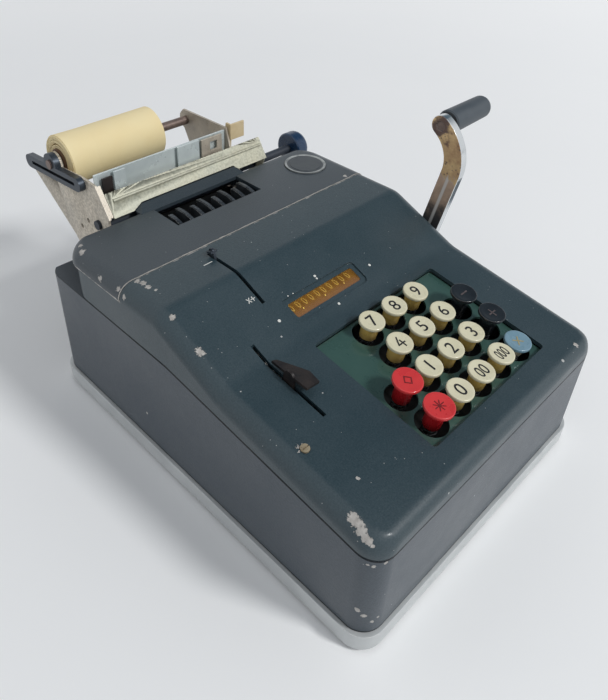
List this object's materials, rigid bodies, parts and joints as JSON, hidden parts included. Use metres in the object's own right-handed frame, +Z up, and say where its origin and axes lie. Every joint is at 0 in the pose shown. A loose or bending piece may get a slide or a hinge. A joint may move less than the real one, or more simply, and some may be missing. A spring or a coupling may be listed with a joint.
{
  "type": "mechanical calculator",
  "caption": "Hand-cranked printing calculator with sloped ten-key keyboard, register window, type segments, platen and paper roll carrier behind the covers.",
  "frame": {"origin": "middle of the overall footprint, on the surface that the feet stand on", "axes": "+Z up; the keyboard and the operator are at -Y, the paper roll at +Y; the crank is at +X"},
  "size_m": [0.254, 0.326, 0.1704],
  "materials": {
    "casing_paint": "satin, worn at the edges",
    "tray_metal": "dull",
    "foot_rubber": "matt",
    "plate_green": "gloss",
    "amber_lens": "clear amber",
    "badge_metal": "satin",
    "screw_steel": "dull",
    "steel": "satin",
    "brass": "satin",
    "chrome": "polished, pitted",
    "zinc_sheet": "plated, speckled",
    "brown_steel": "tarnished",
    "blued_steel": "dark",
    "grip_black": "worn gloss",
    "key_cream": "gloss",
    "key_red": "gloss",
    "key_blue": "gloss",
    "key_black": "gloss",
    "wheel_white": "satin",
    "type_dark": "oiled",
    "platen_rubber": "matt",
    "paper": "matt, aged",
    "spool_wood": "matt",
    "table_sheet": "satin"
  },
  "bodies": {
    "casing": {"base_tray": "tray_metal", "rubber_feet": "foot_rubber", "lower_shell": "casing_paint", "front_cover": "casing_paint", "rear_cover": "casing_paint", "key_plate": "plate_green", "register_lens": "amber_lens", "round_badge": "badge_metal", "casing_screws": "screw_steel", "key_guide_plate": "steel", "key_springs": "steel", "left_frame": "steel", "right_frame": "steel", "frame_rods": "steel", "fixed_shafts": "steel", "shaft_bushes": "brass", "crank_spring": "steel", "left_bracket": "zinc_sheet", "right_bracket": "brown_steel", "roll_cradle": "blued_steel", "tear_bar": "zinc_sheet", "paper_table": "table_sheet", "roll_axle": "blued_steel"},
    "crank": {"main_shaft": "steel", "crank_arm": "chrome", "crank_nut": "screw_steel", "grip_pin": "steel", "drive_gear": "steel"},
    "grip": {"crank_grip": "grip_black"},
    "cam": {"cam_shaft": "steel", "cam_gear": "brass"},
    "register": {"number_wheels": "wheel_white"},
    "type_raised": {"type_segments_raised": "type_dark"},
    "type_resting": {"type_segments_resting": "type_dark"},
    "platen": {"platen_roller": "platen_rubber", "platen_knob": "grip_black"},
    "roll": {"paper_roll": "paper", "paper_spool": "spool_wood"},
    "bail": {"paper_bail": "steel"},
    "release": {"release_lever": "zinc_sheet"},
    "correction": {"correction_lever": "blued_steel"},
    "function": {"function_lever": "brown_steel"},
    "carriage": {"pin_carriage": "steel"},
    "key_0": {"key_0": "key_cream"},
    "key_00": {"key_00": "key_cream"},
    "key_000": {"key_000": "key_cream"},
    "key_1": {"key_1": "key_cream"},
    "key_2": {"key_2": "key_cream"},
    "key_3": {"key_3": "key_cream"},
    "key_4": {"key_4": "key_cream"},
    "key_5": {"key_5": "key_cream"},
    "key_6": {"key_6": "key_cream"},
    "key_7": {"key_7": "key_cream"},
    "key_8": {"key_8": "key_cream"},
    "key_9": {"key_9": "key_cream"},
    "key_total": {"key_total": "key_red"},
    "key_subtotal": {"key_subtotal": "key_red"},
    "key_repeat": {"key_repeat": "key_blue"},
    "key_plus": {"key_plus": "key_black"},
    "key_minus": {"key_minus": "key_black"}
  },
  "joints": [
    {"name": "crank_pull", "type": "hinge", "parent": "casing", "child": "crank", "pos_m": [-0.02703, -0.027, 0.0525], "axis": [1, 0, 0], "range_deg": [0, 80], "stiffness_Nm_per_rad": 0.15, "springref_deg": -17.19},
    {"name": "grip_spin", "type": "hinge", "parent": "crank", "child": "grip", "pos_m": [0.08497, -0.0325, 0.1625], "axis": [0.9998, 0, 0.0175], "continuous": true},
    {"name": "cam_turn", "type": "hinge", "parent": "casing", "child": "cam", "pos_m": [-0.02703, 0.0106, 0.0525], "axis": [1, 0, 0], "range_deg": [-121, 0]},
    {"name": "register_turn", "type": "hinge", "parent": "casing", "child": "register", "pos_m": [-0.02703, -0.04148, 0.08992], "axis": [1, 0, 0], "continuous": true},
    {"name": "raised_type_swing", "type": "hinge", "parent": "casing", "child": "type_raised", "pos_m": [-0.02703, 0.055, 0.0865], "axis": [-1, 0, 0], "range_deg": [0, 40]},
    {"name": "resting_type_swing", "type": "hinge", "parent": "casing", "child": "type_resting", "pos_m": [-0.02703, 0.055, 0.0865], "axis": [-1, 0, 0], "range_deg": [0, 40]},
    {"name": "platen_turn", "type": "hinge", "parent": "casing", "child": "platen", "pos_m": [-0.02703, 0.086, 0.109], "axis": [1, 0, 0], "continuous": true},
    {"name": "paper_roll_turn", "type": "hinge", "parent": "casing", "child": "roll", "pos_m": [-0.02703, 0.13, 0.134], "axis": [1, 0, 0], "continuous": true},
    {"name": "bail_lift", "type": "hinge", "parent": "casing", "child": "bail", "pos_m": [-0.02703, 0.0855, 0.125], "axis": [1, 0, 0], "range_deg": [0, 10], "stiffness_Nm_per_rad": 0.05, "springref_deg": -11.46},
    {"name": "release_tilt", "type": "hinge", "parent": "casing", "child": "release", "pos_m": [0.01098, 0.089, 0.1245], "axis": [-1, 0, 0], "range_deg": [0, 25]},
    {"name": "correction_rock", "type": "hinge", "parent": "casing", "child": "correction", "pos_m": [-0.07103, -0.008, 0.0725], "axis": [1, 0, 0], "range_deg": [0, 42]},
    {"name": "function_rock", "type": "hinge", "parent": "casing", "child": "function", "pos_m": [-0.09302, -0.073, 0.0145], "axis": [1, 0, 0], "range_deg": [-2, 13]},
    {"name": "carriage_slide", "type": "slide", "parent": "casing", "child": "carriage", "axis": [1, 0, 0], "range_m": [-0.045, 0.01]},
    {"name": "key_0_press", "type": "slide", "parent": "casing", "child": "key_0", "axis": [0, 0.1564, -0.9877], "range_m": [0, 0.0035], "stiffness_N_per_m": 400, "springref_m": -0.002, "deforming": ["key_springs"]},
    {"name": "key_00_press", "type": "slide", "parent": "casing", "child": "key_00", "axis": [0, 0.1564, -0.9877], "range_m": [0, 0.0035], "stiffness_N_per_m": 400, "springref_m": -0.002, "deforming": ["key_springs"]},
    {"name": "key_000_press", "type": "slide", "parent": "casing", "child": "key_000", "axis": [0, 0.1564, -0.9877], "range_m": [0, 0.0035], "stiffness_N_per_m": 400, "springref_m": -0.002, "deforming": ["key_springs"]},
    {"name": "key_1_press", "type": "slide", "parent": "casing", "child": "key_1", "axis": [0, 0.1564, -0.9877], "range_m": [0, 0.0035], "stiffness_N_per_m": 400, "springref_m": -0.002, "deforming": ["key_springs"]},
    {"name": "key_2_press", "type": "slide", "parent": "casing", "child": "key_2", "axis": [0, 0.1564, -0.9877], "range_m": [0, 0.0035], "stiffness_N_per_m": 400, "springref_m": -0.002, "deforming": ["key_springs"]},
    {"name": "key_3_press", "type": "slide", "parent": "casing", "child": "key_3", "axis": [0, 0.1564, -0.9877], "range_m": [0, 0.0035], "stiffness_N_per_m": 400, "springref_m": -0.002, "deforming": ["key_springs"]},
    {"name": "key_4_press", "type": "slide", "parent": "casing", "child": "key_4", "axis": [0, 0.1564, -0.9877], "range_m": [0, 0.0035], "stiffness_N_per_m": 400, "springref_m": -0.002, "deforming": ["key_springs"]},
    {"name": "key_5_press", "type": "slide", "parent": "casing", "child": "key_5", "axis": [0, 0.1564, -0.9877], "range_m": [0, 0.0035], "stiffness_N_per_m": 400, "springref_m": -0.002, "deforming": ["key_springs"]},
    {"name": "key_6_press", "type": "slide", "parent": "casing", "child": "key_6", "axis": [0, 0.1564, -0.9877], "range_m": [0, 0.0035], "stiffness_N_per_m": 400, "springref_m": -0.002, "deforming": ["key_springs"]},
    {"name": "key_7_press", "type": "slide", "parent": "casing", "child": "key_7", "axis": [0, 0.1564, -0.9877], "range_m": [0, 0.0035], "stiffness_N_per_m": 400, "springref_m": -0.002, "deforming": ["key_springs"]},
    {"name": "key_8_press", "type": "slide", "parent": "casing", "child": "key_8", "axis": [0, 0.1564, -0.9877], "range_m": [0, 0.0035], "stiffness_N_per_m": 400, "springref_m": -0.002, "deforming": ["key_springs"]},
    {"name": "key_9_press", "type": "slide", "parent": "casing", "child": "key_9", "axis": [0, 0.1564, -0.9877], "range_m": [0, 0.0035], "stiffness_N_per_m": 400, "springref_m": -0.002, "deforming": ["key_springs"]},
    {"name": "key_total_press", "type": "slide", "parent": "casing", "child": "key_total", "axis": [0, 0.1564, -0.9877], "range_m": [0, 0.0035], "stiffness_N_per_m": 400, "springref_m": -0.002, "deforming": ["key_springs"]},
    {"name": "key_subtotal_press", "type": "slide", "parent": "casing", "child": "key_subtotal", "axis": [0, 0.1564, -0.9877], "range_m": [0, 0.0035], "stiffness_N_per_m": 400, "springref_m": -0.002, "deforming": ["key_springs"]},
    {"name": "key_repeat_press", "type": "slide", "parent": "casing", "child": "key_repeat", "axis": [0, 0.1564, -0.9877], "range_m": [0, 0.0035], "stiffness_N_per_m": 400, "springref_m": -0.002, "deforming": ["key_springs"]},
    {"name": "key_plus_press", "type": "slide", "parent": "casing", "child": "key_plus", "axis": [0, 0.1564, -0.9877], "range_m": [0, 0.0035], "stiffness_N_per_m": 400, "springref_m": -0.002, "deforming": ["key_springs"]},
    {"name": "key_minus_press", "type": "slide", "parent": "casing", "child": "key_minus", "axis": [0, 0.1564, -0.9877], "range_m": [0, 0.0035], "stiffness_N_per_m": 400, "springref_m": -0.002, "deforming": ["key_springs"]}
  ],
  "couplings": [
    {"joint": "cam_turn", "follows": "crank_pull", "ratio": -1.5}
  ]
}
